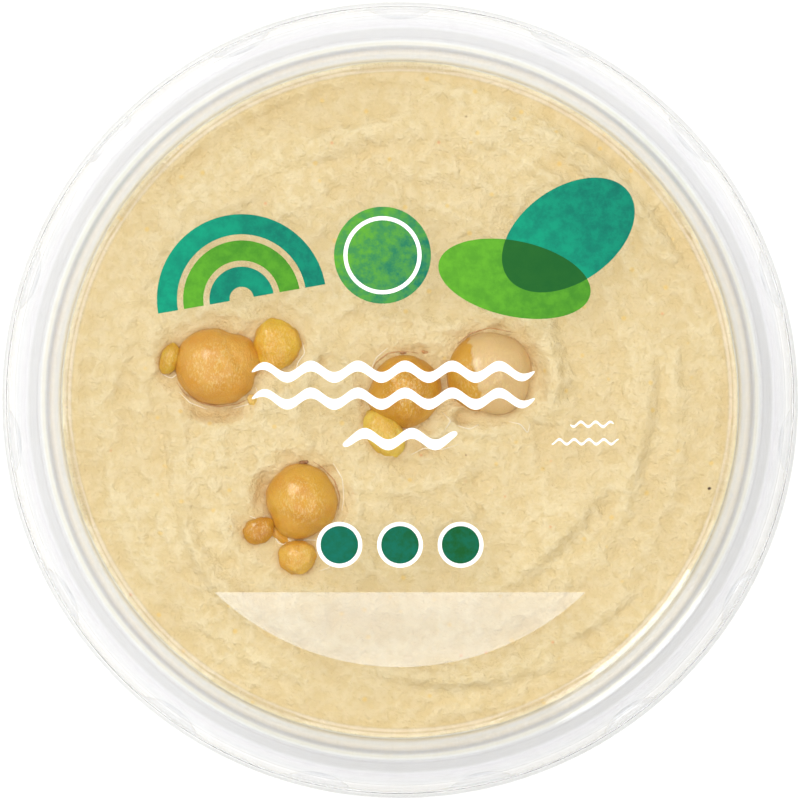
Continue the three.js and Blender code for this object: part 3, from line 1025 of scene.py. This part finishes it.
def inkMaterial(name, light, dark, at=(0, 0), turn=0, over=None):
    paint = Paint(name)
    across = paint.node("ShaderNodeSeparateXYZ", sockets={0: paint.place(1, (*at, 0), turn)}, output="X")
    fade = paint.between(across, -ink["fade"], ink["fade"])
    dapple = paint.between(paint.noise(ink["dappleSize"], detail=6, roughness=0.7), 0.35, 0.65)
    tone = paint.mix(0.45 * fade + 0.55 * dapple, light, dark)
    if over:
        tone = paint.mix(0.9 * paint.ellipse(*over), tone, ink["darkGreen"])
    sockets = {
        "Base Color": tone,
        "Roughness": 0.5,
        "Specular IOR Level": 0.1,
        "Normal": paint.bump(paint.noise(0.4), 0.01, 0.2),
    }
    return paint.finish(paint.letLightPass(paint.principled(sockets), ink["passes"]))


def thicken(bm, height):
    made = bmesh.ops.extrude_face_region(bm, geom=bm.faces[:])
    tops = [part for part in made["geom"] if isinstance(part, bmesh.types.BMVert)]
    bmesh.ops.translate(bm, verts=tops, vec=(0, 0, height))
    bmesh.ops.recalc_face_normals(bm, faces=bm.faces)


def setInk(name, bm, material, layer=0):
    thicken(bm, ink["height"] * mm)
    z = lid["panelTop"] + ink["lift"] + layer * (ink["height"] + ink["lift"])
    bmesh.ops.translate(bm, verts=bm.verts, vec=(0, 0, z * mm))
    piece = addPiece(name, bm, material)
    piece.data.shade_flat()


def disc(bm, x, y, halfX, halfY, turn=0, segments=96):
    place = Matrix.Translation((x * mm, y * mm, 0)) @ Matrix.Rotation(radians(turn), 4, "Z")
    size = Matrix.Diagonal((halfX * mm, halfY * mm, 1, 1))
    bmesh.ops.create_circle(bm, cap_ends=True, segments=segments, radius=1, matrix=place @ size)


def halfRing(bm, x, y, inner, outer, start, sweep):
    a = radians(start)
    spots = [bm.verts.new(((x + r * cos(a)) * mm, (y + r * sin(a)) * mm, 0)) for r in (inner, outer)]
    edge = bm.edges.new(spots)
    bmesh.ops.spin(
        bm, geom=spots + [edge], cent=(x * mm, y * mm, 0), axis=(0, 0, 1), angle=radians(sweep), steps=60
    )


def wave(bm, x, y, length, swing, pitch, stroke):
    grid = bmesh.ops.create_grid(bm, x_segments=150, y_segments=1, size=1)
    for vert in grid["verts"]:
        along = vert.co.x * length / 2
        taper = max(0.01, 1 - abs(vert.co.x) ** 8) ** 0.5
        across = vert.co.y * stroke / 2 * taper
        vert.co.x = (x + along) * mm
        vert.co.y = (y + swing * sin(2 * pi * along / pitch) + across) * mm


# Places, half sizes and turns of the print's rounds, in mm and degrees.
motifs = {
    "tealOval": {"at": (25.0, 24.5), "turn": 35, "half": (11.0, 7.0)},
    "greenOval": {"at": (17.0, 18.0), "turn": -12, "half": (11.5, 5.6)},
    "arches": {
        "at": (-23.5, 15.0), "start": 10, "sweep": 180, "rings": [(9.6, 12.6), (5.7, 8.7), (1.8, 4.8)],
    },
    "badge": {"at": (-2.6, 21.5), "radius": 7.2, "ring": (5.2, 5.8)},
    "waves": [(-1.0, 4.2, 42), (-1.0, 0.2, 42), (0.0, -5.8, 17)],  # middle and length
    "waveShape": {"swing": 0.85, "pitch": 7, "stroke": 1.6},
    "dots": {"x": (-9.0, 0.0, 9.0), "y": -21.5, "rim": 3.4, "radius": 2.8},
    "dashes": [(28.5, -3.6, 6.5), (27.5, -6.2, 10.0)],
    "dashShape": {"swing": 0.35, "pitch": 2.2, "stroke": 0.4},
}


def buildPrint():
    teal, green = motifs["tealOval"], motifs["greenOval"]
    bm = bmesh.new()
    disc(bm, *teal["at"], *teal["half"], teal["turn"])
    paint = inkMaterial("inkTeal", ink["teal"], ink["deepTeal"], teal["at"], teal["turn"])
    setInk("printOvalTeal", bm, paint)
    bm = bmesh.new()
    disc(bm, *green["at"], *green["half"], green["turn"])
    over = (teal["at"], teal["turn"], teal["half"])
    paint = inkMaterial("inkGreen", ink["lightGreen"], ink["midGreen"], green["at"], green["turn"], over)
    setInk("printOvalGreen", bm, paint, 1)

    arches = motifs["arches"]
    for i, (inner, outer) in enumerate(arches["rings"]):
        bm = bmesh.new()
        halfRing(bm, *arches["at"], inner, outer, arches["start"], arches["sweep"])
        light, dark = (ink["lightGreen"], ink["midGreen"]) if i == 1 else (ink["teal"], ink["deepTeal"])
        paint = inkMaterial(f"inkArch{i + 1}", light, dark, arches["at"], 60 * i)
        setInk(f"printArch{i + 1}", bm, paint)

    badge = motifs["badge"]
    bm = bmesh.new()
    disc(bm, *badge["at"], badge["radius"], badge["radius"])
    paint = inkMaterial("inkBadge", ink["lightGreen"], ink["deepTeal"], badge["at"], -30)
    setInk("printBadge", bm, paint)
    bm = bmesh.new()
    halfRing(bm, *badge["at"], *badge["ring"], 0, 359.9)
    white = inkMaterial("inkWhite", ink["white"], ink["white"])
    setInk("printBadgeRing", bm, white, 1)

    bm = bmesh.new()
    for x, y, length in motifs["waves"]:
        wave(bm, x, y, length, **motifs["waveShape"])
    for x, y, length in motifs["dashes"]:
        wave(bm, x, y, length, **motifs["dashShape"])
    setInk("printWaves", bm, white, 1)

    dots = motifs["dots"]
    for name, radius, paint, layer in [
        ("printDotRims", dots["rim"], white, 0),
        ("printDots", dots["radius"], inkMaterial("inkDark", ink["deepTeal"], ink["darkGreen"]), 1),
    ]:
        bm = bmesh.new()
        for x in dots["x"]:
            disc(bm, x, dots["y"], radius, radius, 0, 48)
        setInk(name, bm, paint, layer)


# The blank field: a round cut off along a chord. It covers a share of what is under it, a little unevenly.
dateField = {"radius": 39.66, "chord": -28.56, "cover": 0.135, "uneven": 0.015, "size": 6}


def buildDateField():
    paint = Paint("inkVeil")
    cover, uneven = dateField["cover"], dateField["uneven"]
    veil = paint.between(paint.noise(dateField["size"]), 0.3, 0.7, cover - uneven, cover + uneven)
    white = paint.principled({"Base Color": ink["white"], "Roughness": 0.5})
    clear = paint.node("ShaderNodeBsdfTransparent")
    shader = paint.node("ShaderNodeMixShader", sockets={0: veil, 1: clear, 2: white})
    bm = bmesh.new()
    disc(bm, 0, 0, dateField["radius"], dateField["radius"], 0, 360)
    cut = {"plane_co": (0, dateField["chord"] * mm, 0), "plane_no": (0, 1, 0), "clear_outer": True}
    bmesh.ops.bisect_plane(bm, geom=bm.verts[:] + bm.edges[:] + bm.faces[:], **cut)
    setInk("printDateField", bm, paint.finish(shader))


buildStudio()
buildTub()
buildLid()
buildHummus()
for name, spec in chickpeas.items():
    buildChickpea(name, spec)
for name, spec in pieces.items():
    buildBrokenPiece(name, spec)
for name, spec in crumbs.items():
    buildCrumb(name, spec)
for name, (colour, lines) in threads.items():
    buildThreads(name, colour, lines)
buildPrint()
buildDateField()
